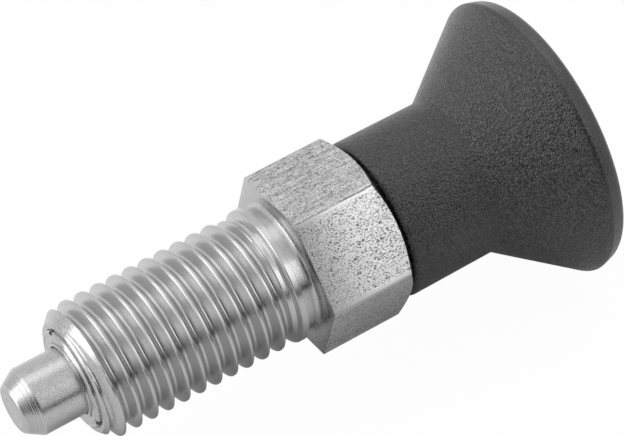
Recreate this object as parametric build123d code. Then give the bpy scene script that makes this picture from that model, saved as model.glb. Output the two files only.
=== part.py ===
from build123d import *
import math
import os

os.makedirs("parts", exist_ok=True)

# Indexing plunger: a hexagon-headed threaded body, a sprung locking pin and a pull knob.
# The axis is X. The pin points along -X and the knob sits at +X. The origin is on the axis,
# in the plane of the hexagon's seat face, and two of the hexagon's flats are level.
# Sizes are in millimetres. A name that ends in "place" is a position along X.

# threaded body; the shank stands at the thread's outer diameter, without the helix
thread_diameter = 12.0
shank_length = 20.0
front_chamfer = 1.0
face_land = 0.3
relief_width = 1.4
relief_depth = 0.5
relief_slope = 0.12
fillet_lift = 0.05
hex_shoulder = 1.0
hex_length = 8.15
hex_face_inset = 0.3
hex_chamfer_angle = 30.0
rear_wall = 4.65
bore_edge = 0.2

# guide bush, pressed into the front of the body and staked
bush_length = 3.5
bush_step = 0.4
bush_proud = 0.3
bush_edge = 0.2
bush_mouth = 0.15
stake_angles = (67, 210, 318)
stake_diameter = 0.6
stake_depth = 0.2

# locking pin, turned in one piece with its collar, spring guide and stem
pin_diameter = 6.0
pin_projection = 5.6
stroke = 6.0
tip_length = 1.5
tip_flat_diameter = 4.1
tip_round = 0.4
pin_clearance = 0.03
collar_step = 0.8
collar_length = 2.0
collar_clearance = 0.2
collar_edge = 0.25
guide_clearance = 0.3
stem_diameter = 4.5
stem_clearance = 0.08
stem_in_knob = 11.0
stem_end_edge = 0.5
knurl_length = 3.0
knurl_gap = 2.0
knurl_height = 0.15
knurl_ribs = 20

# compression spring with closed and ground ends
wire_diameter = 0.8
spring_turns = 11.25
closed_turns = 1.0
ramp_turns = 0.5
coil_gap = 0.03
points_per_turn = 10

# moulded knob
knob_gap = 0.2
neck_front_diameter = 14.1
neck_rear_diameter = 13.95
neck_length = 8.43
neck_front_round = 0.5
crease_round = 0.4
knob_diameter = 25.0  # across the corner of the rim before it is rounded
flare_half_angle = 37.0
rim_edge_round = 0.3
rim_width = 1.4
rim_taper = 0.4
rim_back_round = 0.9
crown_height = 1.8
knob_bore_room = 0.5

# places that several pieces share
front_place = -shank_length
bush_back_place = front_place + bush_length
collar_back_place = bush_back_place + collar_length
spring_stop_place = hex_length - rear_wall
knob_front_place = hex_length + knob_gap
stem_end_place = knob_front_place + stem_in_knob

# radii that one piece takes from another
thread_radius = thread_diameter / 2
pin_radius = pin_diameter / 2
stem_radius = stem_diameter / 2
collar_radius = pin_radius + collar_step
spring_bore_radius = collar_radius + collar_clearance
bush_radius = spring_bore_radius + bush_step
bush_bore_radius = pin_radius + pin_clearance
spring_radius = collar_radius


def turned(outline, rounds=()):
    """Solid of revolution about X of a flat outline whose lengths are places and radii.

    Each round is a corner's place and radius, and the size it is rounded to.
    """
    for place, radius, size in rounds:
        corner = outline.vertices().sort_by_distance((place, radius, 0))[0]
        outline = fillet(corner, size)
    return revolve(outline, Axis.X)


def profile(*points):
    return make_face(Polyline(*points, close=True))


def stake_marks():
    """Dents punched across the joint between body and bush, which hold the bush in."""
    marks = []
    for angle in stake_angles:
        mark = Cone(
            bottom_radius=0,
            top_radius=stake_diameter / 2,
            height=stake_depth + bush_proud,
            align=(Align.CENTER, Align.CENTER, Align.MIN),
        )
        tip = Location((front_place + stake_depth, 0, bush_radius), (0, -90, 0))
        marks.append(Rot(angle - 90, 0, 0) * tip * mark)
    return marks


def shank():
    """Thread blank with its run-out relief and the fillet into the seat face.

    The fillet ends just outside the thread, and the front face keeps a land beside its chamfer.
    """
    relief_radius = thread_radius - relief_depth
    seat_fillet = relief_depth + fillet_lift
    chamfer_size = min(front_chamfer, thread_radius - bush_radius - face_land)
    outline = profile(
        (front_place, 0),
        (front_place, thread_radius - chamfer_size),
        (front_place + chamfer_size, thread_radius),
        (-relief_width, thread_radius),
        (relief_slope - relief_width, relief_radius),
        (0, relief_radius),
        (0, relief_radius + 2 * seat_fillet),
        (hex_length / 2, relief_radius + 2 * seat_fillet),
        (hex_length / 2, 0),
    )
    return turned(outline, [(0, relief_radius, seat_fillet)])


def hexagon():
    """Hexagon with its rear corners turned off at a shallow angle."""
    flat_radius = thread_radius + hex_shoulder
    corner_radius = flat_radius / math.cos(math.pi / 6)
    face_radius = flat_radius - hex_face_inset
    outer_radius = corner_radius + hex_shoulder
    chamfer_length = (outer_radius - face_radius) * math.tan(math.radians(hex_chamfer_angle))
    prism = extrude(Plane.YZ * RegularPolygon(flat_radius, 6, major_radius=False), hex_length)
    turned_bar = turned(
        profile(
            (0, 0),
            (0, outer_radius),
            (hex_length - chamfer_length, outer_radius),
            (hex_length, face_radius),
            (hex_length, 0),
        )
    )
    return prism & turned_bar


def threaded_body():
    """Shank and hexagon from one bar, with the bush seat, the spring bore and the stem hole."""
    stem_hole_radius = stem_radius + stem_clearance
    bores = turned(
        profile(
            (front_place, 0),
            (front_place, bush_radius),
            (bush_back_place, bush_radius),
            (bush_back_place, spring_bore_radius),
            (spring_stop_place, spring_bore_radius),
            (spring_stop_place, stem_hole_radius),
            (hex_length - bore_edge, stem_hole_radius),
            (hex_length, stem_hole_radius + bore_edge),
            (hex_length, 0),
        )
    )
    return shank() + hexagon() - bores - stake_marks()


def guide_bush():
    """Plain bush that guides the nose of the pin and closes the front of the body."""
    face_place = front_place - bush_proud
    bush = turned(
        profile(
            (face_place, bush_bore_radius + bush_mouth),
            (face_place, bush_radius - bush_edge),
            (face_place + bush_edge, bush_radius),
            (bush_back_place, bush_radius),
            (bush_back_place, bush_bore_radius),
            (face_place + bush_mouth, bush_bore_radius),
        )
    )
    return bush - stake_marks()


def knurl(start_place):
    """Band of straight ribs round the stem, which bite into the bore of the knob."""
    rib_side = knurl_height * math.sqrt(2)
    section = Circle(stem_radius)
    for rib_place in PolarLocations(stem_radius, knurl_ribs):
        section += rib_place * Rot(0, 0, 45) * Rectangle(rib_side, rib_side)
    return extrude(Plane.YZ.offset(start_place) * section, knurl_length)


def locking_pin():
    """Nose with a coned tip, stop collar, spring guide and the stem that carries the knob.

    The guide's rear shoulder meets the body's rear wall when the pin is pulled its full stroke.
    """
    tip_place = front_place - pin_projection
    tip_radius = tip_flat_diameter / 2
    guide_radius = spring_radius - wire_diameter - guide_clearance
    guide_end_place = spring_stop_place - stroke
    outline = profile(
        (tip_place, 0),
        (tip_place, tip_radius),
        (tip_place + tip_length, pin_radius),
        (bush_back_place, pin_radius),
        (bush_back_place, collar_radius - collar_edge),
        (bush_back_place + collar_edge, collar_radius),
        (collar_back_place, collar_radius),
        (collar_back_place, guide_radius),
        (guide_end_place, guide_radius),
        (guide_end_place, stem_radius),
        (stem_end_place - stem_end_edge, stem_radius),
        (stem_end_place, stem_radius - stem_end_edge),
        (stem_end_place, 0),
    )
    pin = turned(outline, [(tip_place, tip_radius, tip_round)])
    rear_knurl_place = stem_end_place - stem_end_edge - knurl_length
    front_knurl_place = rear_knurl_place - knurl_gap - knurl_length
    return pin + knurl(front_knurl_place) + knurl(rear_knurl_place)


def turns_opened(turns):
    """Turns of full opening gained from a closed end, with a ramp from closed to open pitch."""
    past_closed = turns - closed_turns
    if past_closed <= 0:
        return 0.0
    if past_closed <= ramp_turns:
        return past_closed**2 / (2 * ramp_turns)
    return past_closed - ramp_turns / 2


def spring():
    """Coil between the pin's collar and the body's rear wall, its end turns closed and ground."""
    length = spring_stop_place - collar_back_place
    mean_radius = spring_radius - wire_diameter / 2
    end_inset = wire_diameter / 4
    closed_pitch = wire_diameter + coil_gap
    open_turns = spring_turns - 2 * closed_turns - ramp_turns
    extra_pitch = (length - 2 * end_inset - closed_pitch * spring_turns) / open_turns
    half_opened = turns_opened(spring_turns / 2)

    steps = round(spring_turns * points_per_turn)
    points = []
    for step in range(steps + 1):
        turn = spring_turns * step / steps
        if 2 * turn <= spring_turns:
            opened = turns_opened(turn)
        else:
            opened = 2 * half_opened - turns_opened(spring_turns - turn)
        place = collar_back_place + end_inset + closed_pitch * turn + extra_pitch * opened
        angle = 2 * math.pi * turn
        points.append((place, mean_radius * math.cos(angle), mean_radius * math.sin(angle)))

    centre_line = Spline(*points)
    wire_end = Plane(origin=centre_line @ 0, x_dir=(-1, 0, 0), z_dir=centre_line % 0)
    coil = sweep(wire_end * Circle(wire_diameter / 2), path=centre_line, is_frenet=True)
    room = Plane.YZ.offset(collar_back_place) * Circle(2 * spring_radius)
    return coil & extrude(room, length)


def knob():
    """Moulded knob: slim neck, flared grip face, narrow rim and a crowned end."""
    neck_front_radius = neck_front_diameter / 2
    neck_rear_radius = neck_rear_diameter / 2
    rim_radius = knob_diameter / 2
    crown_radius = rim_radius - rim_taper
    flare_slope = math.tan(math.radians(flare_half_angle))
    crease_place = knob_front_place + neck_length
    rim_place = crease_place + (rim_radius - neck_rear_radius) / flare_slope
    crown_place = rim_place + rim_width
    end_place = crown_place + crown_height

    sides = Polyline(
        (end_place, 0),
        (knob_front_place, 0),
        (knob_front_place, neck_front_radius),
        (crease_place, neck_rear_radius),
        (rim_place, rim_radius),
        (crown_place, crown_radius),
    )
    crown = TangentArc((end_place, 0), (crown_place, crown_radius), tangent=(0, 1))
    rounds = [
        (knob_front_place, neck_front_radius, neck_front_round),
        (crease_place, neck_rear_radius, crease_round),
        (rim_place, rim_radius, rim_edge_round),
        (crown_place, crown_radius, rim_back_round),
    ]
    solid = turned(make_face([sides, crown]), rounds)
    bore = Plane.YZ.offset(knob_front_place) * Circle(stem_radius)
    return solid - extrude(bore, stem_in_knob + knob_bore_room)


pieces = {
    "threaded_body": threaded_body(),
    "guide_bush": guide_bush(),
    "locking_pin": locking_pin(),
    "spring": spring(),
    "knob": knob(),
}
for name, piece in pieces.items():
    export_step(piece, f"parts/{name}.step")
    print(name, "volume", round(piece.volume, 2))
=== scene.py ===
import math
import bmesh
import bpy
from mathutils import Matrix, Vector


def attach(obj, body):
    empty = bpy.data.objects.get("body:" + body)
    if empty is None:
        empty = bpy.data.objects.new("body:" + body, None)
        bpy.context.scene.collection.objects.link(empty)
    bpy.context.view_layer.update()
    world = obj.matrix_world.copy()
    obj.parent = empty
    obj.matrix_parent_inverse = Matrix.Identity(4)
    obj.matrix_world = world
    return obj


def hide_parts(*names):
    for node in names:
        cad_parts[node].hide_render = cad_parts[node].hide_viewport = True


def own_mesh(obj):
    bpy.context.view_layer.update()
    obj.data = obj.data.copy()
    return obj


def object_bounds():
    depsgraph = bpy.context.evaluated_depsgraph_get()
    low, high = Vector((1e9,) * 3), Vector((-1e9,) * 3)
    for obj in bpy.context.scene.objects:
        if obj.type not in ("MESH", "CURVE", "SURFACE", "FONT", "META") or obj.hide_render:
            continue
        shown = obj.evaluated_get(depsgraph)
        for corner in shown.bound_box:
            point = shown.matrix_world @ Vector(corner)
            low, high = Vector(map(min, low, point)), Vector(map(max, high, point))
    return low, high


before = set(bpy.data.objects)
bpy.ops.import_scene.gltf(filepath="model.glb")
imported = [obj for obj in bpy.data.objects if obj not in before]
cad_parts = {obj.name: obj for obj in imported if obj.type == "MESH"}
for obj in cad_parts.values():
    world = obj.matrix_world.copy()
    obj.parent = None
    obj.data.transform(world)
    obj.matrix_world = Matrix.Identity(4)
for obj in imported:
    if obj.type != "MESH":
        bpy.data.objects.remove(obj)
cadBox = [list(corner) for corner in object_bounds()]
print("frame loaded")

# the axis is X, the pin points along -X, and the sizes of the pieces are in millimetres
mm = 0.001
scene = bpy.context.scene


class Wire:
    # a socket that can stand in a sum, in a material or in a geometry tree
    def __init__(self, tree, socket=None):
        self.tree = tree
        self.socket = socket

    def node(self, kind, settings=None, inputs=None, output=0):
        made = self.tree.nodes.new(kind)
        for name, value in (settings or {}).items():
            setattr(made, name, value)
        for name, value in (inputs or {}).items():
            if isinstance(value, Wire):
                self.tree.links.new(value.socket, made.inputs[name])
            else:
                made.inputs[name].default_value = value
        return Wire(self.tree, made.outputs[output])

    def other(self, index):
        return Wire(self.tree, self.socket.node.outputs[index])

    def named(self, label):
        return self.other(self.socket.node.outputs.find(label))

    def operate(self, operation, *values):
        return self.node("ShaderNodeMath", {"operation": operation}, dict(enumerate(values)))

    def maths(self, operation, *others):
        return self.operate(operation, self, *others)

    def __add__(self, other):
        return self.operate("ADD", self, other)

    def __radd__(self, other):
        return self.operate("ADD", other, self)

    def __sub__(self, other):
        return self.operate("SUBTRACT", self, other)

    def __rsub__(self, other):
        return self.operate("SUBTRACT", other, self)

    def __mul__(self, other):
        return self.operate("MULTIPLY", self, other)

    def __rmul__(self, other):
        return self.operate("MULTIPLY", other, self)

    def __truediv__(self, other):
        return self.operate("DIVIDE", self, other)

    def __pow__(self, other):
        return self.operate("POWER", self, other)

    def atLeast(self, limit):
        return self.maths("MAXIMUM", limit)

    def atMost(self, limit):
        return self.maths("MINIMUM", limit)

    def step(self, low, high):
        # 0 below low, 1 above high and smooth between them
        settings = {"interpolation_type": "SMOOTHSTEP"}
        return self.node("ShaderNodeMapRange", settings, {0: self, 1: low, 2: high, 3: 0.0, 4: 1.0})

    def past(self, edge, blend):
        # 0 before the edge and 1 past it, blended this far to both sides
        return self.step(edge - blend, edge + blend)

    def parts(self):
        # x, y and z of a vector
        split = self.node("ShaderNodeSeparateXYZ", None, {0: self})
        return split, split.other(1), split.other(2)

    def toward(self, direction):
        # cosine of the angle to a direction
        inputs = {0: self, 1: direction}
        return self.node("ShaderNodeVectorMath", {"operation": "DOT_PRODUCT"}, inputs, 1)

    def leave(self, kind):
        # ends a material or a world with this shader
        output = self.tree.nodes.new(kind)
        self.tree.links.new(self.socket, output.inputs["Surface"])


# camera

cameraSizes = {
    # metres and degrees
    "place": (-0.085095, -0.20462, 0.18359),
    "lookAt": (0.003366, 0.0, 0.003281),
    "roll": -12.535,
    "lens": 203.0028,
    "sensor": 36.0,
    "nearest": 0.01,
    "farthest": 20,
}


def makeCamera(sizes):
    camera = bpy.data.cameras.new("camera")
    camera.lens = sizes["lens"]
    camera.sensor_width = sizes["sensor"]
    camera.sensor_fit = "HORIZONTAL"
    camera.clip_start = sizes["nearest"]
    camera.clip_end = sizes["farthest"]
    holder = bpy.data.objects.new("camera", camera)
    scene.collection.objects.link(holder)
    place = Vector(sizes["place"])
    turn = (Vector(sizes["lookAt"]) - place).to_track_quat("-Z", "Y").to_matrix().to_4x4()
    roll = Matrix.Rotation(math.radians(sizes["roll"]), 4, "Z")
    holder.matrix_world = Matrix.Translation(place) @ turn @ roll
    scene.camera = holder


makeCamera(cameraSizes)
print("camera placed")


# floor, background and lamps

stageSizes = {
    # metres and degrees
    "floorReach": 0.8,
    "floorFront": -0.068,  # the sheet ends in front of the part, and the room behind it is dark
    "floorGap": 0.00004,  # between the sheet and the lowest point of the part
    "floorShade": 0.72,
    "floorWhite": 0.97,  # share of plain white that the camera sees, the rest keeps the shadow
    "mirroredGlowFade": (0.004, 0.05),  # behind the part, where the mirrored floor turns white: painted light, a glow that only the metal sees
    "mirroredGlowShare": 0.8,
    "paintedShadowDepth": 0.5,  # painted shadow: darker floor under the part, which only the metal mirrors
    "paintedShadowWidth": 0.008,
    "paintedShadowFront": (-0.026, -0.019),
    "paintedShadowBack": (0.006, 0.02),
    "wallLight": 0.80,
    "opening": (-0.464, -0.836, 0.292),  # the tent's opening, where the room behind is darker
    "openingEdge": 38,
    "openingCore": 16,
    "slitDrop": 0.1,  # a dark slit below the horizon, in front of the part
    "slitToward": (0, -1, 0),
    "slitHeight": (0.12, 0.18),
    "slitSides": (0.6, 0.85),
    "openingShade": 0.9,
    "lamps": (
        # name, place, side, turn in degrees of a lamp that hangs level, light above the walls'
        ("overhead", (-0.45, 0.27, 0.6), (1.5, 0.32), -12.0, 0.52),
        ("overheadFront", (-0.54, -0.11, 0.6), (0.9, 0.36), 0.0, 0.34),
        ("overheadRight", (0.55, 0.14, 0.6), (0.26, 0.52), 0.0, 2.0),
        ("leftSide", (-0.525, 0.14, 0.254), (0.42, 0.46), None, 1.6),
        ("frontPanel", (0.122, -0.185, 0.12), (0.16, 0.13), None, 0.98),
    ),
}
plainWhite = {"Color": (1, 1, 1, 1), "Strength": 1.0}


def newFinish(name):
    finish = bpy.data.materials.new(name)
    finish.use_nodes = True
    finish.node_tree.nodes.clear()
    return finish, Wire(finish.node_tree)


def greyBetween(mask, bare, full):
    # the grey where the mask is 0, and where it is 1
    inputs = {0: mask, 6: (bare, bare, bare, 1), 7: (full, full, full, 1)}
    return mask.node("ShaderNodeMix", {"data_type": "RGBA"}, inputs, 2)


def makeFloor(sizes):
    reach = sizes["floorReach"]
    front = sizes["floorFront"]
    level = cadBox[0][2] - sizes["floorGap"]
    corners = [(-reach, front), (reach, front), (reach, reach), (-reach, reach)]
    mesh = bpy.data.meshes.new("floor")
    mesh.from_pydata([(x, y, level) for x, y in corners], [], [(0, 1, 2, 3)])
    floor = bpy.data.objects.new("floor", mesh)
    scene.collection.objects.link(floor)
    finish, start = newFinish("paleFloor")
    rays = start.node("ShaderNodeLightPath")
    seen = rays.named("Is Camera Ray") + rays.named("Is Transmission Ray")
    mirrored = rays.named("Is Glossy Ray")
    along, behind = start.node("ShaderNodeTexCoord").named("Object").parts()[:2]
    # painted light: the floor behind the part glows white in the metal's reflections
    back = behind.step(*sizes["mirroredGlowFade"]) * sizes["mirroredGlowShare"]
    white = seen * sizes["floorWhite"] + mirrored * back
    # painted shadow on the floor under the part, which only the metal's reflections show
    side = behind / sizes["paintedShadowWidth"]
    paintedShadow = (-1 * side * side).maths("EXPONENT")
    paintedShadow = paintedShadow * along.step(*sizes["paintedShadowFront"]) * (1 - along.step(*sizes["paintedShadowBack"]))
    shade = sizes["floorShade"]
    colour = greyBetween(paintedShadow * mirrored, shade, shade * (1 - sizes["paintedShadowDepth"]))
    matt = start.node("ShaderNodeBsdfDiffuse", None, {"Color": colour})
    bright = start.node("ShaderNodeEmission", None, plainWhite)
    start.node("ShaderNodeMixShader", None, {0: white, 1: matt, 2: bright}).leave("ShaderNodeOutputMaterial")
    mesh.materials.append(finish)


def makeWorld(sizes):
    world = bpy.data.worlds.new("tent")
    scene.world = world
    world.use_nodes = True
    world.node_tree.nodes.clear()
    start = Wire(world.node_tree)
    ray = start.node("ShaderNodeTexCoord").named("Generated")
    core = math.cos(math.radians(sizes["openingCore"]))
    edge = math.cos(math.radians(sizes["openingEdge"]))
    opening = ray.toward(sizes["opening"]).step(edge, core)
    band = ray.parts()[2] + sizes["slitDrop"]
    ahead = ray.toward(sizes["slitToward"]).step(*sizes["slitSides"])
    slit = (1 - band.maths("ABSOLUTE").step(*sizes["slitHeight"])) * ahead
    level = sizes["wallLight"] * (1 - sizes["openingShade"] * opening.atLeast(slit))
    rays = start.node("ShaderNodeLightPath")
    white = (rays.named("Is Camera Ray") + rays.named("Is Transmission Ray")).atMost(1.0)
    strength = level * (1 - white) + white
    light = start.node("ShaderNodeBackground", None, {**plainWhite, "Strength": strength})
    light.leave("ShaderNodeOutputWorld")


def makeLamps(sizes):
    for name, place, side, turn, light in sizes["lamps"]:
        lamp = bpy.data.lights.new(name, "AREA")
        lamp.shape = "RECTANGLE"
        lamp.size, lamp.size_y = side
        lamp.energy = light * math.pi * lamp.size * lamp.size_y  # watts for a panel this bright
        holder = bpy.data.objects.new(name, lamp)
        scene.collection.objects.link(holder)
        if turn is None:
            aim = (Vector() - Vector(place)).to_track_quat("-Z", "Y").to_matrix().to_4x4()
        else:
            aim = Matrix.Rotation(math.radians(turn), 4, "Z")
        holder.matrix_world = Matrix.Translation(Vector(place)) @ aim
        holder.visible_camera = False


makeFloor(stageSizes)
makeWorld(stageSizes)
makeLamps(stageSizes)
scene.view_settings.view_transform = "Standard"
print("stage lit")


# finishes, in which lengths are millimetres and a scale is a number of grains to the millimetre

def millimetres(start):
    # the part's own coordinates
    place = start.node("ShaderNodeTexCoord").named("Object")
    return start.node("ShaderNodeVectorMath", {"operation": "SCALE"}, {0: place, "Scale": 1 / mm})


def roundAxis(place):
    # the position along the axis and the distance from it
    along, across, up = place.parts()
    return along, (across * across + up * up) ** 0.5


def stretched(place, along=1.0, across=1.0):
    # a factor below 1 makes the grains longer that way
    inputs = {0: place, 1: (along, across, across)}
    return place.node("ShaderNodeVectorMath", {"operation": "MULTIPLY"}, inputs)


def noise(place, scale, detail, roughness=0.5, distortion=0.0):
    inputs = {"Scale": scale, "Detail": detail, "Roughness": roughness, "Distortion": distortion}
    inputs["Vector"] = place
    return place.node("ShaderNodeTexNoise", None, inputs)


def rings(distance, scale, detail, roughness):
    inputs = {"W": distance, "Scale": scale, "Detail": detail, "Roughness": roughness}
    return distance.node("ShaderNodeTexNoise", {"noise_dimensions": "1D"}, inputs)


def closeFinish(finish, colour, metallic, roughness, height, depth, specular=0.5):
    # depth is the height of the relief
    inputs = {"Strength": 1.0, "Distance": depth * mm, "Height": height}
    bump = colour.node("ShaderNodeBump", None, inputs)
    inputs = {"Base Color": colour, "Metallic": metallic, "Roughness": roughness, "Normal": bump}
    inputs["Specular IOR Level"] = specular
    colour.node("ShaderNodeBsdfPrincipled", None, inputs).leave("ShaderNodeOutputMaterial")
    return finish


barLook = {
    "bareGrey": 0.77,
    "markedGrey": 0.10,
    "pitEdge": (0.59, 0.65),  # noise levels between which a pit sets in
    "speckEdge": (0.56, 0.64),
    "bandEdge": (0.34, 0.60),
    "streakEdge": (0.3, 0.7),
    "dentEdge": (0.35, 0.65),
    "speckWeight": 0.8,
    "bandGap": 0.62,  # share of the pits that lie between the bands
    "cornerClear": (0.01, 0.07),  # radians from a corner over which the pits set in
    "cornerLine": (0.006, 0.014),
    "cornerMark": 0.35,
    "upperFlat": 6.9,  # the upper flat has fewer pits, and fine dents and streaks
    "upperBlend": 0.05,
    "upperPits": 0.5,
    "upperMarks": 0.6,
    "streakWeight": 0.6,
    "upperLevel": -0.29,
    "markWeight": 0.9,
    "cloudWeight": 0.10,
    "cloudLevel": -0.4,
    "roughness": 0.32,
    "skinRoughness": 0.12,
    "markRoughness": 0.25,
    "skinHeight": 0.4,
    "depth": 0.008,
}


def barSteel(look):
    # drawn hexagon bar: grey skin with small dark pits in bands along it
    finish, start = newFinish("barSteel")
    place = millimetres(start)
    across, up = place.parts()[1:]
    upper = up.past(look["upperFlat"], look["upperBlend"])
    fromCorner = up.maths("ARCTAN2", across).maths("PINGPONG", math.pi / 6)
    rows = stretched(place, along=0.5)
    pits = noise(rows, scale=8.5, detail=1, distortion=0.2).step(*look["pitEdge"])
    specks = noise(rows, scale=13, detail=0).step(*look["speckEdge"])
    bands = noise(stretched(place, along=0.1), scale=2.4, detail=1).step(*look["bandEdge"])
    streaks = noise(stretched(place, along=0.12), scale=5.5, detail=2, roughness=0.6)
    streaks = streaks.step(*look["streakEdge"])
    dents = noise(rows, scale=11.5, detail=2, roughness=0.7).step(*look["dentEdge"])
    skin = noise(rows, scale=14, detail=2, roughness=0.6)
    cloud = noise(place, scale=0.9, detail=2)
    pitted = fromCorner.step(*look["cornerClear"]) * (look["bandGap"] + (1 - look["bandGap"]) * bands)
    marks = pits.atLeast(specks * look["speckWeight"]) * pitted * (1 - (1 - look["upperPits"]) * upper)
    marks = marks + look["upperMarks"] * upper * (dents + look["streakWeight"] * streaks + look["upperLevel"])
    marks = marks + look["cornerMark"] * (1 - fromCorner.step(*look["cornerLine"]))
    shade = look["markWeight"] * marks + look["cloudWeight"] * (cloud + look["cloudLevel"])
    colour = greyBetween(shade, look["bareGrey"], look["markedGrey"])
    roughness = look["roughness"] + look["skinRoughness"] * skin + look["markRoughness"] * marks
    height = look["skinHeight"] * skin - marks
    return closeFinish(finish, colour, 1.0, roughness, height, look["depth"])


def turnedSteel(name, scale, depth, roughness, slope, grey):
    # lathe finish: fine rings round the axis, cut across by light scratches
    cloudShare = 0.4
    darker = 0.09
    lighter = 0.03
    grainHeight = 0.25
    scratchEdge = (0.35, 0.65)
    scratchRoughness = 0.14
    finish, start = newFinish(name)
    place = millimetres(start)
    along, outward = roundAxis(place)
    ring = rings(along + outward * slope, scale, detail=3, roughness=0.6)
    cloud = noise(place, scale=1.6, detail=3, roughness=0.6)
    grain = noise(place, scale=14, detail=2, roughness=0.6)
    scratch = noise(stretched(place, across=0.4), scale=7, detail=2, roughness=0.6).step(*scratchEdge)
    shade = cloudShare * cloud + (1 - cloudShare) * scratch
    colour = greyBetween(shade, grey - darker, grey + lighter)
    roughness = roughness + scratchRoughness * scratch
    height = ring + grainHeight * grain
    return closeFinish(finish, colour, 1.0, roughness, height, depth)


def rolledSteel():
    # thread flanks: satin, with fine lines that follow the thread and a slight orange peel
    bareGrey = 0.50
    fullGrey = 0.64
    lineShare = 0.5
    lineEdge = (0.35, 0.65)
    peelHeight = 0.1
    leastRoughness = 0.20
    peelRoughness = 0.08
    finish, start = newFinish("rolledSteel")
    place = millimetres(start)
    outward = roundAxis(place)[1]
    lines = rings(outward, scale=7, detail=3, roughness=0.6)
    peel = noise(place, scale=6, detail=2)
    cloud = noise(place, scale=0.8, detail=2)
    shade = (1 - lineShare) * cloud + lineShare * lines.step(*lineEdge)
    colour = greyBetween(shade, bareGrey, fullGrey)
    roughness = leastRoughness + peelRoughness * peel
    height = lines + peelHeight * peel
    return closeFinish(finish, colour, 1.0, roughness, height, depth=0.010)


pinLook = {
    "tipEnd": -24.1,  # the tip is turned and the rest is ground
    "tipBlend": 0.05,
    "ringSlope": 0.6,  # how far the rings follow the cone outwards
    "ringEdge": (0.35, 0.65),
    "grainEdge": (0.3, 0.7),
    "tipShade": 0.25,
    "bareGrey": 0.49,
    "fullGrey": 0.64,
    "roughness": 0.18,
    "grainRoughness": 0.12,
    "groundRings": 0.1,
    "tipRings": 1.2,
    "grainHeight": 0.6,
    "depth": 0.018,
}


def groundSteel(look):
    # locking pin: ground cylinder with fine grain and a turned tip
    finish, start = newFinish("groundSteel")
    place = millimetres(start)
    along, outward = roundAxis(place)
    onTip = 1 - along.past(look["tipEnd"], look["tipBlend"])
    ring = rings(along + outward * look["ringSlope"], scale=4.5, detail=1, roughness=0.5)
    grain = noise(place, scale=9, detail=1, roughness=0.6)
    shade = grain.step(*look["grainEdge"]) * (1 - onTip) + ring.step(*look["ringEdge"]) * onTip
    colour = greyBetween(shade - onTip * look["tipShade"], look["bareGrey"], look["fullGrey"])
    roughness = look["roughness"] + look["grainRoughness"] * grain
    height = ring * (look["groundRings"] + look["tipRings"] * onTip) + look["grainHeight"] * grain
    return closeFinish(finish, colour, 1.0, roughness, height, look["depth"])


knobLook = {
    "crease": 16.75,
    "creaseBlend": 0.15,
    "rim": 23.85,
    "rimBlend": 0.25,
    "bareGrey": 0.001,
    "fullGrey": 0.044,
    "pebbleEdge": (0.36, 0.68),
    # painted shade in the neck's grain hollows and painted glints on its tops
    "neckPaintedGrainLight": 0.76,
    "flarePaintedLight": 0.58,  # added to the neck's; painted light, a lighter flare with stronger painted glints
    "rimPebble": 0.21,
    "rimLight": 0.30,
    "neckDepth": 0.8,
    "flareDepth": 0.2,  # added to the neck's
    "rimDepth": 0.25,
    "fineHeight": 0.25,
    "roughness": 0.26,
    "flareRoughness": -0.07,
    "fineRoughness": 0.10,
    "depth": 0.13,
    "specular": 0.72,
}


def knobPlastic(look):
    # moulded thermoplastic: eroded grain, deeper on the flare, nearly smooth on the rim; its colour paints
    # shade into the grain's hollows and glints onto its tops, and paints the flare lighter
    finish, start = newFinish("knobPlastic")
    place = millimetres(start)
    along = place.parts()[0]
    flare = along.past(look["crease"], look["creaseBlend"])
    rim = along.past(look["rim"], look["rimBlend"])
    pebble = noise(place, scale=6.5, detail=0)
    fine = noise(place, scale=9, detail=1)
    # painted shade in the grain's hollows and painted glints on its tops, lighter on the flare as painted
    # light
    light = (look["neckPaintedGrainLight"] + look["flarePaintedLight"] * flare) * pebble.step(*look["pebbleEdge"])
    light = light * (1 - rim * (1 - look["rimPebble"])) + rim * look["rimLight"]
    colour = greyBetween(light, look["bareGrey"], look["fullGrey"])
    deep = (1 - rim * (1 - look["rimDepth"])) * (look["neckDepth"] + look["flareDepth"] * flare)
    height = pebble * deep + look["fineHeight"] * fine
    roughness = look["roughness"] + look["flareRoughness"] * flare + look["fineRoughness"] * fine
    return closeFinish(finish, colour, 0.0, roughness, height, look["depth"], look["specular"])


def springSteel():
    # drawn wire
    bareGrey = 0.42
    fullGrey = 0.54
    leastRoughness = 0.26
    grainRoughness = 0.14
    finish, start = newFinish("springSteel")
    place = millimetres(start)
    grain = noise(place, scale=9, detail=3, roughness=0.6)
    colour = greyBetween(noise(place, scale=1.2, detail=2), bareGrey, fullGrey)
    roughness = leastRoughness + grainRoughness * grain
    return closeFinish(finish, colour, 1.0, roughness, grain, depth=0.006)


finishes = {
    "bar": barSteel(barLook),
    "turned": turnedSteel("turnedSteel", scale=4.5, depth=0.017, roughness=0.15, slope=0.6, grey=0.57),
    "rolled": rolledSteel(),
    "bush": turnedSteel("bushSteel", scale=5.0, depth=0.014, roughness=0.09, slope=1.0, grey=0.58),
    # the nicks' insides: painted shade, near black in the punched recesses
    "nick": turnedSteel("paintedShadeNickSteel", scale=9.0, depth=0.02, roughness=0.45, slope=0.5, grey=0.12),
    "pin": groundSteel(pinLook),
    "knob": knobPlastic(knobLook),
    "spring": springSteel(),
}
print("finishes mixed")


# shared mesh work

weld = 0.0005 * mm  # points nearer than this become one
treeWeld = 0.001 * mm
threadWeld = 0.002 * mm  # where the thread meets the turned shell
smoothAngle = 34  # degrees; edges that turn more stay sharp
softAngle = 40  # the same for the spring and the knob


def newPiece(name, mesh):
    piece = bpy.data.objects.new(name, mesh)
    scene.collection.objects.link(piece)
    return piece


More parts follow.
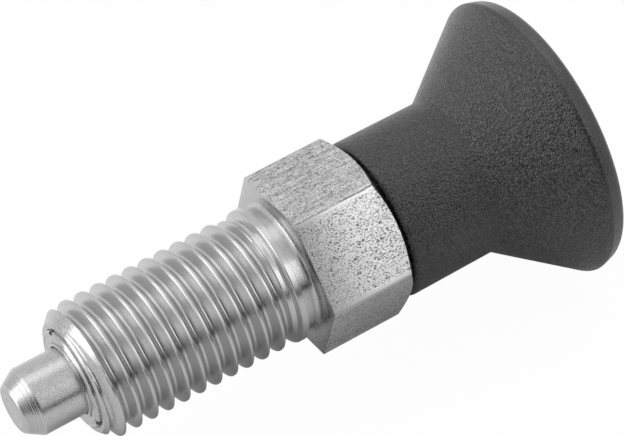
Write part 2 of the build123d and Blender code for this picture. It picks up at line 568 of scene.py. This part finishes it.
def roundedLine(corners):
    # corners are (place, radius) or (place, radius, round); a round becomes a short arc
    arcStep = 12  # degrees
    line = []
    for index, corner in enumerate(corners):
        here = Vector(corner[:2])
        size = corner[2] if len(corner) > 2 else 0
        if size == 0:
            line.append(here)
            continue
        before = (Vector(corners[index - 1][:2]) - here).normalized()
        after = (Vector(corners[(index + 1) % len(corners)][:2]) - here).normalized()
        half = before.angle(after) / 2
        middle = here + (before + after).normalized() * (size / math.sin(half))
        start = here + before * (size / math.tan(half))
        end = here + after * (size / math.tan(half))
        sweep = (start - middle).angle_signed(end - middle)
        steps = max(2, math.ceil(abs(math.degrees(sweep)) / arcStep))
        for step in range(steps + 1):
            line.append(middle + Matrix.Rotation(-sweep * step / steps, 2) @ (start - middle))
    return line


def addRing(body, columns, outline):
    # outline(angle) gives the place and the radius of a point
    ring = []
    for column in range(columns):
        angle = 2 * math.pi * column / columns
        place, radius = outline(angle)
        spot = (place * mm, radius * mm * math.cos(angle), radius * mm * math.sin(angle))
        ring.append(body.verts.new(spot))
    return ring


def bridge(body, first, second):
    # faces between two rings, of which one may be a single point on the axis
    columns = max(len(first), len(second))
    for column in range(columns):
        following = (column + 1) % columns
        if len(first) == 1:
            body.faces.new((first[0], second[column], second[following]))
        elif len(second) == 1:
            body.faces.new((first[column], second[0], first[following]))
        else:
            body.faces.new((first[column], second[column], second[following], first[following]))


def closeUp(body, distance=weld):
    bmesh.ops.remove_doubles(body, verts=body.verts, dist=distance)
    bmesh.ops.recalc_face_normals(body, faces=body.faces)


def keptMesh(body, name):
    mesh = bpy.data.meshes.new(name)
    body.to_mesh(mesh)
    body.free()
    return mesh


def turnedMesh(name, line, columns, closed=False, swell=None):
    # swell(place, angle) adds to the radius
    body = bmesh.new()
    rings = []

    def outline(angle):
        return place, radius + (swell(place, angle) if swell else 0)

    for place, radius in line:
        if radius == 0:
            rings.append([body.verts.new((place * mm, 0, 0))])
        else:
            rings.append(addRing(body, columns, outline))
    if closed:
        rings.append(rings[0])
    for first, second in zip(rings, rings[1:]):
        bridge(body, first, second)
    closeUp(body)
    return keptMesh(body, name)


def smoothBelow(mesh, degrees):
    mesh.polygons.foreach_set("use_smooth", [True] * len(mesh.polygons))
    mesh.set_sharp_from_angle(angle=math.radians(degrees))


def growTree(name, inputs):
    # an empty geometry tree with named inputs
    tree = bpy.data.node_groups.new(name, "GeometryNodeTree")
    tree.interface.new_socket(name="Geometry", in_out="OUTPUT", socket_type="NodeSocketGeometry")
    for label, value in inputs.items():
        kind = "NodeSocketInt" if isinstance(value, int) else "NodeSocketFloat"
        tree.interface.new_socket(name=label, in_out="INPUT", socket_type=kind)
    entry = tree.nodes.new("NodeGroupInput")
    wires = {}
    for label in inputs:
        wires[label] = Wire(tree, entry.outputs[label])
    return tree, Wire(tree), wires


def closeTree(geometry, finish):
    real = geometry.node("GeometryNodeRealizeInstances", None, {0: geometry})
    painted = geometry.node("GeometryNodeSetMaterial", None, {"Geometry": real, "Material": finish})
    leaving = geometry.tree.nodes.new("NodeGroupOutput")
    geometry.tree.links.new(painted.socket, leaving.inputs[0])


def grownMesh(name, tree, inputs):
    # runs the tree on an empty object and keeps the plain mesh
    holder = newPiece(name, bpy.data.meshes.new(name))
    modifier = holder.modifiers.new(name, "NODES")
    modifier.node_group = tree
    for item in tree.interface.items_tree:
        if item.item_type == "SOCKET" and item.in_out == "INPUT":
            modifier[item.identifier] = inputs[item.name]
    holder.update_tag()
    bpy.context.view_layer.update()
    seen = holder.evaluated_get(bpy.context.evaluated_depsgraph_get())
    mesh = bpy.data.meshes.new_from_object(seen)
    bpy.data.objects.remove(holder)
    mesh.name = name
    return mesh


def placeAround(radius, place, angle):
    # a geometry point from its distance to the axis, its place along it and its angle round it
    across = radius * angle.maths("COSINE")
    up = radius * angle.maths("SINE")
    return place.node("ShaderNodeCombineXYZ", None, {0: place, 1: across, 2: up})


# threaded body: rolled thread, relief, hexagon and bores

bodySizes = {
    "threadDiameter": 11.82,
    "threadAngle": 60,
    "pitch": 1.5,
    "rootRound": 0.24,
    "crestWidth": 0.19,
    "crestRound": 0.012,
    "crestPlace": -18.03,
    "samplesPerPitch": 40,
    "columns": 144,
    "frontPlace": -20.0,
    "frontRadius": 4.86,
    "turnedFront": 0.9,  # length of the front chamfer's turned faces
    "fadePlace": -3.6,  # from here the crest isn't fully formed
    "fadeLength": 1.0,
    "fadeDepth": 0.45,
    "fadeRound": 0.02,
    "runOutPlace": -2.42,
    "runOutLength": 0.5,
    "runOutRound": 0.12,
    "collarRadius": 6.0,
    "collarRound": 0.16,
    "collarEnd": -1.4,
    "collarEdge": (0.02, 0.03),
    "reliefSlope": 0.12,
    "reliefRadius": 5.5,
    "seatFillet": 0.4,
    "filletSteps": 8,
    "seatRing": 6.4,  # radius on the seat face, outside its fillet
    "flatRadius": 7.0,
    "hexLength": 8.15,
    "chamferAngle": 30,
    "rearFaceRadius": 6.7,
    "edgeBevel": 0.025,
    "bevelAngle": 25,  # only sharper edges get the bevel,
    "bevelFrom": -0.5,  # behind this place
    "bevelRadius": 6.3,  # and outside this radius
    "bushRadius": 4.4,
    "bushEdge": 0.05,
    "bushBack": -16.5,
    "springBore": 4.0,
    "springStop": 3.5,
    "stemHole": 2.33,
    "holeEdge": 0.2,
    "turnedRadius": 5.0,  # inside this every face is turned
    "collarSlack": 0.01,  # a face this far past the collar's end still belongs to the thread
    "seatSlack": 0.02,  # a face this near the seat is turned
    "barRadius": 6.0,  # outside this the hexagon's side faces are drawn bar
    "barLean": 0.35,  # and lean less than this, as a sine
    "nickAngles": (67.3, 210.4, 318.3),
    "nickDepth": 0.2,
    "nickRadius": 0.5,
    "nickHeight": 0.6,
    "nickStretch": 1.15,
    "nickSides": 10,
}


def threadTree(sizes):
    # a grid sheared by one pitch a turn, so that crest and root run along its rows
    pitch = sizes["pitch"]
    step = pitch / sizes["samplesPerPitch"]
    before = math.ceil((sizes["crestPlace"] - sizes["frontPlace"] + pitch) / step)
    after = math.ceil((sizes["collarEnd"] - sizes["crestPlace"]) / step)
    inputs = {
        "Pitch": pitch * mm,
        "Thread Radius": sizes["threadDiameter"] / 2 * mm,
        "Root Round": sizes["rootRound"] * mm,
        "Crest Width": sizes["crestWidth"] * mm,
        "Crest Round": sizes["crestRound"] * mm,
        "First Row": (sizes["crestPlace"] - before * step) * mm,
        "Row Length": (before + after) * step * mm,
        "Rows": before + after + 1,
        "Columns": sizes["columns"] + 1,
        "Crest Place": sizes["crestPlace"] * mm,
        "Front Place": sizes["frontPlace"] * mm,
        "Front Radius": sizes["frontRadius"] * mm,
        "Fade Place": sizes["fadePlace"] * mm,
        "Fade Length": sizes["fadeLength"] * mm,
        "Fade Depth": sizes["fadeDepth"] * mm,
        "Fade Round": sizes["fadeRound"] * mm,
        "Run-out Place": sizes["runOutPlace"] * mm,
        "Run-out Length": sizes["runOutLength"] * mm,
        "Run-out Round": sizes["runOutRound"] * mm,
        "Collar Radius": sizes["collarRadius"] * mm,
        "Collar Round": sizes["collarRound"] * mm,
        "Collar End": sizes["collarEnd"] * mm,
    }
    tree, start, wire = growTree("threadForm", inputs)
    gridInputs = {
        "Size X": wire["Row Length"],
        "Size Y": 1.0,
        "Vertices X": wire["Rows"],
        "Vertices Y": wire["Columns"],
    }
    grid = start.node("GeometryNodeMeshGrid", None, gridInputs)
    alongGrid, acrossGrid = start.node("GeometryNodeInputPosition").parts()[:2]
    turn = acrossGrid + 0.5  # the grid lies round its centre
    row = alongGrid + wire["Row Length"] / 2 + wire["First Row"]
    place = (row + wire["Pitch"] * turn).atLeast(wire["Front Place"]).atMost(wire["Collar End"])

    # the thread's section, measured from the nearest crest
    halfAngle = math.radians(sizes["threadAngle"] / 2)
    flankSlope = math.tan(math.pi / 2 - halfAngle)
    fromCrest = (row - wire["Crest Place"]).maths("PINGPONG", wire["Pitch"] / 2)
    flank = wire["Thread Radius"] + (wire["Crest Width"] / 2 - fromCrest) * flankSlope
    crest = flank.maths("SMOOTH_MIN", wire["Thread Radius"], wire["Crest Round"])
    depth = (wire["Pitch"] - wire["Crest Width"]) / 2 * flankSlope
    fromRoot = wire["Pitch"] / 2 - fromCrest
    inside = (wire["Root Round"] ** 2 - fromRoot**2).atLeast(0.0)
    hollow = wire["Thread Radius"] - depth + 2 * wire["Root Round"] - inside**0.5
    inRoot = fromRoot.maths("LESS_THAN", wire["Root Round"] * math.cos(halfAngle))
    form = inRoot * hollow + (1 - inRoot) * crest

    # crests that fade, the run-out into the collar, and the chamfer at the front
    fade = ((place - wire["Fade Place"]) / wire["Fade Length"]).atLeast(0.0).atMost(1.0)
    faded = wire["Thread Radius"] - fade * wire["Fade Depth"]
    form = form.maths("SMOOTH_MIN", faded, wire["Fade Round"])
    rise = (place - wire["Run-out Place"]) / wire["Run-out Length"]
    rootRadius = wire["Thread Radius"] - depth + wire["Root Round"]
    runOut = rootRadius + rise * (wire["Collar Radius"] - rootRadius)
    form = form.maths("SMOOTH_MAX", runOut, wire["Run-out Round"])
    form = form.maths("SMOOTH_MIN", wire["Collar Radius"], wire["Collar Round"])
    form = form.atMost(wire["Front Radius"] + (place - wire["Front Place"]))

    spot = placeAround(form, place, turn * (2 * math.pi))
    bent = start.node("GeometryNodeSetPosition", None, {"Geometry": grid, "Position": spot})
    merged = start.node("GeometryNodeMergeByDistance", None, {"Geometry": bent, "Distance": treeWeld})
    closeTree(merged, finishes["rolled"])
    return tree, inputs


def hexShell(sizes):
    # everything but the thread: relief, fillet, seat, flats, rear chamfer, hole, bores, front face
    columns = sizes["columns"]
    hexLength = sizes["hexLength"]
    relief = sizes["reliefRadius"]
    fillet = sizes["seatFillet"]
    collar = sizes["collarEnd"]
    wall = collar + sizes["reliefSlope"]
    edgeLength, edgeDrop = sizes["collarEdge"]
    face = sizes["rearFaceRadius"]
    chamferSlope = math.tan(math.radians(sizes["chamferAngle"]))
    body = bmesh.new()

    def circle(place, radius):
        return addRing(body, columns, lambda angle: (place, radius))

    def hexRadius(angle):
        return sizes["flatRadius"] / math.cos((angle % (math.pi / 3)) - math.pi / 6)

    def chamferPlace(angle):
        return hexLength - (hexRadius(angle) - face) * chamferSlope

    rings = [
        circle(collar, sizes["collarRadius"]),
        circle(collar + edgeLength, sizes["collarRadius"] - edgeDrop),
        circle(wall - edgeLength, relief + edgeDrop),
        circle(wall, relief),
    ]
    for step in range(sizes["filletSteps"] + 1):
        lean = math.radians(90 * step / sizes["filletSteps"])
        rise = fillet * (1 - math.cos(lean))
        rings.append(circle(-fillet + fillet * math.sin(lean), relief + rise))
    rings += [
        circle(0, sizes["seatRing"]),
        addRing(body, columns, lambda angle: (0, hexRadius(angle))),
        addRing(body, columns, lambda angle: (chamferPlace(angle), hexRadius(angle))),
        circle(hexLength, face),
        circle(hexLength, sizes["stemHole"] + sizes["holeEdge"]),
        circle(hexLength - sizes["holeEdge"], sizes["stemHole"]),
        circle(sizes["springStop"], sizes["stemHole"]),
        circle(sizes["springStop"], sizes["springBore"]),
        circle(sizes["bushBack"], sizes["springBore"]),
        circle(sizes["bushBack"], sizes["bushRadius"]),
        circle(sizes["frontPlace"] + sizes["bushEdge"], sizes["bushRadius"]),
        circle(sizes["frontPlace"], sizes["bushRadius"] + sizes["bushEdge"]),
        circle(sizes["frontPlace"], sizes["frontRadius"]),
    ]
    for first, second in zip(rings, rings[1:]):
        bridge(body, first, second)
    closeUp(body)

    # the hexagon's sharp edges get small bevels
    sharp = []
    for edge in body.edges:
        if len(edge.link_faces) != 2 or edge.calc_face_angle() < math.radians(sizes["bevelAngle"]):
            continue
        nearest = min(vert.co.x for vert in edge.verts)
        farthest = max(Vector(vert.co.yz).length for vert in edge.verts)
        if nearest > sizes["bevelFrom"] * mm and farthest > sizes["bevelRadius"] * mm:
            sharp.append(edge)
    bmesh.ops.bevel(
        body,
        geom=sharp,
        offset=sizes["edgeBevel"] * mm,
        segments=2,
        profile=0.5,
        affect="EDGES",
        clamp_overlap=True,
    )
    return body


def threadedBody(sizes):
    tree, inputs = threadTree(sizes)
    threadMesh = grownMesh("threadForm", tree, inputs)
    body = hexShell(sizes)
    body.from_mesh(threadMesh)
    bpy.data.meshes.remove(threadMesh)
    closeUp(body, threadWeld)
    loose = [edge for edge in body.edges if len(edge.link_faces) != 2]
    print("open edges", len(loose), "triangles", sum(len(face.verts) - 2 for face in body.faces))
    mesh = keptMesh(body, "threadedBody")
    slots = ("rolled", "turned", "bar", "nick")
    for name in slots:
        mesh.materials.append(finishes[name])
    threadStart = sizes["frontPlace"] + sizes["turnedFront"]
    threadEnd = sizes["collarEnd"] + sizes["collarSlack"]
    for face in mesh.polygons:
        place = face.center.x / mm
        radius = Vector(face.center.yz).length / mm
        onSide = abs(face.normal.x) < sizes["barLean"] and radius > sizes["barRadius"]
        if place > sizes["seatSlack"] and onSide:
            slot = "bar"
        elif threadStart <= place <= threadEnd and radius >= sizes["turnedRadius"]:
            slot = "rolled"
        else:
            slot = "turned"
        face.material_index = slots.index(slot)
    smoothBelow(mesh, smoothAngle)
    return newPiece("threadedBody", mesh)


def punchNicks(piece, sizes):
    # staking marks punched across the joint between body and bush; their insides are painted near black,
    # painted shade in the recesses
    height = sizes["nickHeight"] * mm
    tipPlace = (sizes["frontPlace"] + sizes["nickDepth"]) * mm
    tip = Matrix.Translation((tipPlace, sizes["bushRadius"] * mm, 0))
    for angle in sizes["nickAngles"]:
        body = bmesh.new()
        bmesh.ops.create_cone(
            body,
            cap_ends=True,
            segments=sizes["nickSides"],
            radius1=0,
            radius2=sizes["nickRadius"] * mm,
            depth=height,
        )
        bmesh.ops.translate(body, verts=body.verts, vec=(0, 0, height / 2))
        bmesh.ops.scale(body, verts=body.verts, vec=(1.0, sizes["nickStretch"], 1.0))
        turn = Matrix.Rotation(math.radians(angle), 4, "X")
        body.transform(turn @ tip @ Matrix.Rotation(math.radians(-90), 4, "Y"))
        bmesh.ops.recalc_face_normals(body, faces=body.faces)
        mesh = keptMesh(body, "punch")
        mesh.materials.append(finishes["nick"])
        punch = newPiece("punch", mesh)
        cut = piece.modifiers.new("cut", "BOOLEAN")
        cut.operation = "DIFFERENCE"
        cut.solver = "EXACT"
        cut.object = punch
        cut.material_mode = "TRANSFER"
        seen = piece.evaluated_get(bpy.context.evaluated_depsgraph_get())
        done = bpy.data.meshes.new_from_object(seen)
        piece.modifiers.remove(cut)
        piece.data = done
        bpy.data.objects.remove(punch)


housing = threadedBody(bodySizes)
punchNicks(housing, bodySizes)
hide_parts("threaded_body")
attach(housing, "housing")
print("threaded body made")


# guide bush

bushSizes = {
    "facePlace": -20.3,
    "backPlace": -16.5,
    "boreRadius": 3.03,
    "mouth": 0.08,
    "outerRadius": 4.37,
    "steps": (
        # turned face from its lip outwards: place behind the face, and radius
        (-0.12, 3.28),
        (-0.09, 3.34),
        (0.05, 3.36),
        (0.04, 3.46),
        (0.0, 3.51),
        (0.0, 3.90),
        (0.07, 3.95),
        (0.07, 4.03),
        (0.02, 4.08),
        (0.02, 4.25),
    ),
    "outerEdge": 0.14,
    "columns": 144,
}


def guideBush(sizes):
    face = sizes["facePlace"]
    lip = face + sizes["steps"][0][0]
    bore = sizes["boreRadius"]
    corners = [(lip, bore + sizes["mouth"])]
    corners += [(face + behind, radius) for behind, radius in sizes["steps"]]
    corners += [
        (face + sizes["outerEdge"], sizes["outerRadius"]),
        (sizes["backPlace"], sizes["outerRadius"]),
        (sizes["backPlace"], bore),
        (lip + sizes["mouth"], bore),
    ]
    mesh = turnedMesh("guideBush", roundedLine(corners), sizes["columns"], closed=True)
    mesh.materials.append(finishes["bush"])
    smoothBelow(mesh, smoothAngle)
    return newPiece("guideBush", mesh)


bush = guideBush(bushSizes)
punchNicks(bush, bodySizes)
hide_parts("guide_bush")
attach(bush, "housing")
print("guide bush made")


# locking pin

pinSizes = {
    "tipPlace": -25.6,
    "tipRadius": 2.05,
    "tipLength": 1.5,
    "tipRound": 0.4,
    "shoulderRound": 0.3,
    "pinRadius": 2.97,
    "collarFront": -16.5,
    "collarBack": -14.5,
    "collarRadius": 3.8,
    "collarEdge": 0.25,
    "edgeRound": 0.05,
    "collarBackRound": 0.08,
    "guideRadius": 2.7,
    "guideEnd": -2.55,
    "guideRound": 0.1,
    "stemRadius": 2.25,
    "stemEnd": 19.35,
    "stemEdge": 0.5,
    "stemRound": 0.1,
    "knurlRibs": 20,
    "knurlHeight": 0.15,
    "knurlPlaces": ((10.85, 13.85), (15.85, 18.85)),
    "knurlEdge": 0.001,  # the ribs rise over this length
    "knurlMargin": 0.2,  # a ring beside each band keeps the plain stem's shading flat
    "columns": 160,
}


def lockingPin(sizes):
    tip = sizes["tipPlace"]
    stem = sizes["stemRadius"]
    end = sizes["stemEnd"]
    edge = sizes["knurlEdge"]
    margin = sizes["knurlMargin"]
    corners = [
        (tip, 0),
        (tip, sizes["tipRadius"] / 2),
        (tip, sizes["tipRadius"], sizes["tipRound"]),
        (tip + sizes["tipLength"], sizes["pinRadius"], sizes["shoulderRound"]),
        (sizes["collarFront"], sizes["pinRadius"]),
        (sizes["collarFront"], sizes["collarRadius"] - sizes["collarEdge"], sizes["edgeRound"]),
        (sizes["collarFront"] + sizes["collarEdge"], sizes["collarRadius"], sizes["edgeRound"]),
        (sizes["collarBack"], sizes["collarRadius"], sizes["collarBackRound"]),
        (sizes["collarBack"], sizes["guideRadius"]),
        (sizes["guideEnd"], sizes["guideRadius"], sizes["guideRound"]),
        (sizes["guideEnd"], stem),
    ]
    for low, high in sizes["knurlPlaces"]:
        corners += [(low - margin, stem), (low, stem), (low + edge, stem)]
        corners += [(high - edge, stem), (high, stem), (high + margin, stem)]
    corners += [(end, stem - sizes["stemEdge"], sizes["stemRound"]), (end, 0)]

    def ribs(place, angle):
        for low, high in sizes["knurlPlaces"]:
            if low < place < high:
                wave = abs((angle * sizes["knurlRibs"] / (2 * math.pi)) % 1 - 0.5) * 2
                return sizes["knurlHeight"] * wave
        return 0

    mesh = turnedMesh("lockingPin", roundedLine(corners), sizes["columns"], swell=ribs)
    mesh.materials.append(finishes["pin"])
    smoothBelow(mesh, smoothAngle)
    return newPiece("lockingPin", mesh)


pin = lockingPin(pinSizes)
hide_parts("locking_pin")
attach(pin, "plunger")
print("locking pin made")


# return spring

springSizes = {
    "frontPlace": -14.5,
    "backPlace": 3.5,
    "wire": 0.8,
    "turns": 11.25,
    "closedTurns": 1.0,
    "rampTurns": 0.5,
    "coilGap": 0.03,
    "endGap": 0.005,
    "meanRadius": 3.4,
    "stepsPerTurn": 40,
    "wireSides": 12,
}


def springTree(sizes):
    # the pitch opens with the turn number, and closes again by the same rule at the other end
    length = sizes["backPlace"] - sizes["frontPlace"]
    inset = sizes["wire"] / 2 + sizes["endGap"]
    closedPitch = sizes["wire"] + sizes["coilGap"]
    openTurns = sizes["turns"] - 2 * sizes["closedTurns"] - sizes["rampTurns"]
    extraPitch = (length - 2 * inset - closedPitch * sizes["turns"]) / openTurns
    inputs = {
        "Turns": sizes["turns"],
        "Steps": round(sizes["turns"] * sizes["stepsPerTurn"]) + 1,
        "Wire Radius": sizes["wire"] / 2 * mm,
        "Wire Sides": sizes["wireSides"],
        "Mean Radius": sizes["meanRadius"] * mm,
        "First Place": (sizes["frontPlace"] + inset) * mm,
        "Closed Pitch": closedPitch * mm,
        "Extra Pitch": extraPitch * mm,
        "Closed Turns": sizes["closedTurns"],
        "Ramp Turns": sizes["rampTurns"],
    }
    tree, start, wire = growTree("coilForm", inputs)
    line = start.node("GeometryNodeCurvePrimitiveLine")
    points = start.node("GeometryNodeResampleCurve", None, {"Curve": line, "Count": wire["Steps"]})
    turn = start.node("GeometryNodeSplineParameter") * wire["Turns"]
    half = wire["Turns"] / 2

    def opened(turns):
        # turns of full opening gained since the closed end
        past = (turns - wire["Closed Turns"]).atLeast(0.0)
        onRamp = past.atMost(wire["Ramp Turns"])
        return onRamp * onRamp / (2 * wire["Ramp Turns"]) + (past - onRamp)

    near = turn.atMost(wire["Turns"] - turn)
    side = (turn - half).maths("SIGN")
    middle = opened(half)
    gained = middle + side * (middle - opened(near))
    place = wire["First Place"] + wire["Closed Pitch"] * turn + wire["Extra Pitch"] * gained
    spot = placeAround(wire["Mean Radius"], place, turn * (2 * math.pi))
    coil = start.node("GeometryNodeSetPosition", None, {"Geometry": points, "Position": spot})
    circle = {"Resolution": wire["Wire Sides"], "Radius": wire["Wire Radius"]}
    section = start.node("GeometryNodeCurvePrimitiveCircle", None, circle)
    sweep = {"Curve": coil, "Profile Curve": section, "Fill Caps": True}
    closeTree(start.node("GeometryNodeCurveToMesh", None, sweep), finishes["spring"])
    return tree, inputs


def returnSpring(sizes):
    tree, inputs = springTree(sizes)
    mesh = grownMesh("returnSpring", tree, inputs)
    body = bmesh.new()
    body.from_mesh(mesh)
    closeUp(body, treeWeld)
    body.to_mesh(mesh)
    body.free()
    smoothBelow(mesh, softAngle)
    return newPiece("returnSpring", mesh)


spring = returnSpring(springSizes)
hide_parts("spring")
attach(spring, "return_spring")
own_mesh(spring)
print("return spring made")


# pull knob

knobSizes = {
    "frontPlace": 8.35,
    "frontRound": 0.5,
    "neckFront": 7.05,
    "neckRear": 6.975,
    "creasePlace": 16.78,
    "creaseRound": 0.15,
    "flareAngle": 37.0,
    "rimRadius": 12.5,
    "rimRound": 0.3,
    "rimWidth": 1.4,
    "crownRadius": 12.1,
    "crownRound": 0.9,
    "crownHeight": 1.8,
    "crownShare": 0.9,  # the crown's first ring stands inside its round
    "crownRings": 11,
    "boreRadius": 2.25,
    "boreDepth": 11.5,
    "mouthRound": 0.1,
    "columns": 192,
}


def pullKnob(sizes):
    flareSlope = math.tan(math.radians(sizes["flareAngle"]))
    rimPlace = sizes["creasePlace"] + (sizes["rimRadius"] - sizes["neckRear"]) / flareSlope
    crownPlace = rimPlace + sizes["rimWidth"]
    height = sizes["crownHeight"]
    endPlace = crownPlace + height
    boreEnd = sizes["frontPlace"] + sizes["boreDepth"]
    corners = [
        (boreEnd, 0),
        (boreEnd, sizes["boreRadius"]),
        (sizes["frontPlace"], sizes["boreRadius"], sizes["mouthRound"]),
        (sizes["frontPlace"], sizes["neckFront"], sizes["frontRound"]),
        (sizes["creasePlace"], sizes["neckRear"], sizes["creaseRound"]),
        (rimPlace, sizes["rimRadius"], sizes["rimRound"]),
        (crownPlace, sizes["crownRadius"], sizes["crownRound"]),
    ]
    bend = (height**2 + sizes["crownRadius"] ** 2) / (2 * height)
    for step in range(1, sizes["crownRings"] + 1):
        radius = sizes["crownRadius"] * (1 - step / sizes["crownRings"]) * sizes["crownShare"]
        corners.append((endPlace - (bend - math.sqrt(bend**2 - radius**2)), radius))
    mesh = turnedMesh("pullKnob", roundedLine(corners), sizes["columns"])
    mesh.materials.append(finishes["knob"])
    smoothBelow(mesh, softAngle)
    return newPiece("pullKnob", mesh)


knob = pullKnob(knobSizes)
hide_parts("knob")
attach(knob, "plunger")
print("pull knob made")
